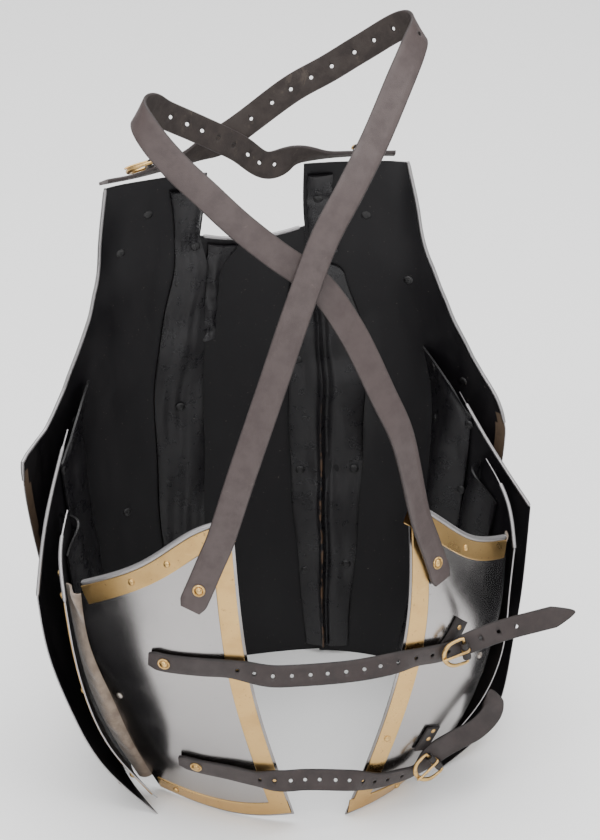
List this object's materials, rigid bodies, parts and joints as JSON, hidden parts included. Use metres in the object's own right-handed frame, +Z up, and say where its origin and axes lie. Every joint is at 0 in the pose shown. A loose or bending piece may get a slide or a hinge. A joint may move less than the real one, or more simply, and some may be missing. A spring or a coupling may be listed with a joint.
{
  "type": "steel breastplate",
  "caption": "Wrap-round steel breastplate of upright plates joined by leather, with brass borders, crossed shoulder straps and two buckled back straps.",
  "frame": {"origin": "bottom centre of the bounding box, on the floor that the lower edges stand on", "axes": "+X to the wearer's right, +Y to the wearer's front (the chest plates), +Z up"},
  "size_m": [0.4826, 0.3316, 0.7305],
  "materials": {
    "steel": "polished outside, black painted inside",
    "brass_border": "polished sheet with fine scratches",
    "brass_hardware": "polished, slightly aged",
    "strap_leather": "smooth brown grain side, darker flesh side",
    "joining_leather": "black paint, satin, puckered",
    "suede": "brown suede flesh side"
  },
  "bodies": {
    "root": {"central_plate": "steel", "flank_plate_left": "steel", "side_plate_left": "steel", "narrow_plate_left": "steel", "back_plate_left": "steel", "flank_plate_right": "steel", "side_plate_right": "steel", "narrow_plate_right": "steel", "back_plate_right": "steel", "central_trim": "brass_border", "flank_trim_left": "brass_border", "side_trim_left": "brass_border", "narrow_trim_left": "brass_border", "back_trim_left": "brass_border", "flank_trim_right": "brass_border", "side_trim_right": "brass_border", "narrow_trim_right": "brass_border", "back_trim_right": "brass_border", "cross_strap_left": "strap_leather", "cross_strap_right": "strap_leather", "back_strap_upper": "strap_leather", "back_strap_lower": "strap_leather", "rivet_cross_strap_left": "brass_hardware", "rivet_cross_strap_right": "brass_hardware", "rivet_back_strap_upper": "brass_hardware", "rivet_back_strap_lower": "brass_hardware", "rivet_back_plate_left": "brass_hardware", "rivet_back_plate_right": "brass_hardware", "buckle_cross_left": "brass_hardware", "tongue_cross_left": "brass_hardware", "buckle_cross_right": "brass_hardware", "tongue_cross_right": "brass_hardware", "buckle_back_upper": "brass_hardware", "tongue_back_upper": "brass_hardware", "buckle_back_lower": "brass_hardware", "tongue_back_lower": "brass_hardware", "tab_upper": "strap_leather", "tab_lower": "strap_leather", "joint_strip_front_left": "joining_leather", "joint_strip_front_right": "joining_leather", "shoulder_strip_right": "joining_leather", "neck_strip": "joining_leather", "joint_strip_side_left": "joining_leather", "joint_strip_narrow_left": "joining_leather", "joint_strip_back_left": "suede", "joint_strip_side_right": "joining_leather", "joint_strip_narrow_right": "joining_leather", "joint_strip_back_right": "suede"}
  },
  "joints": []
}
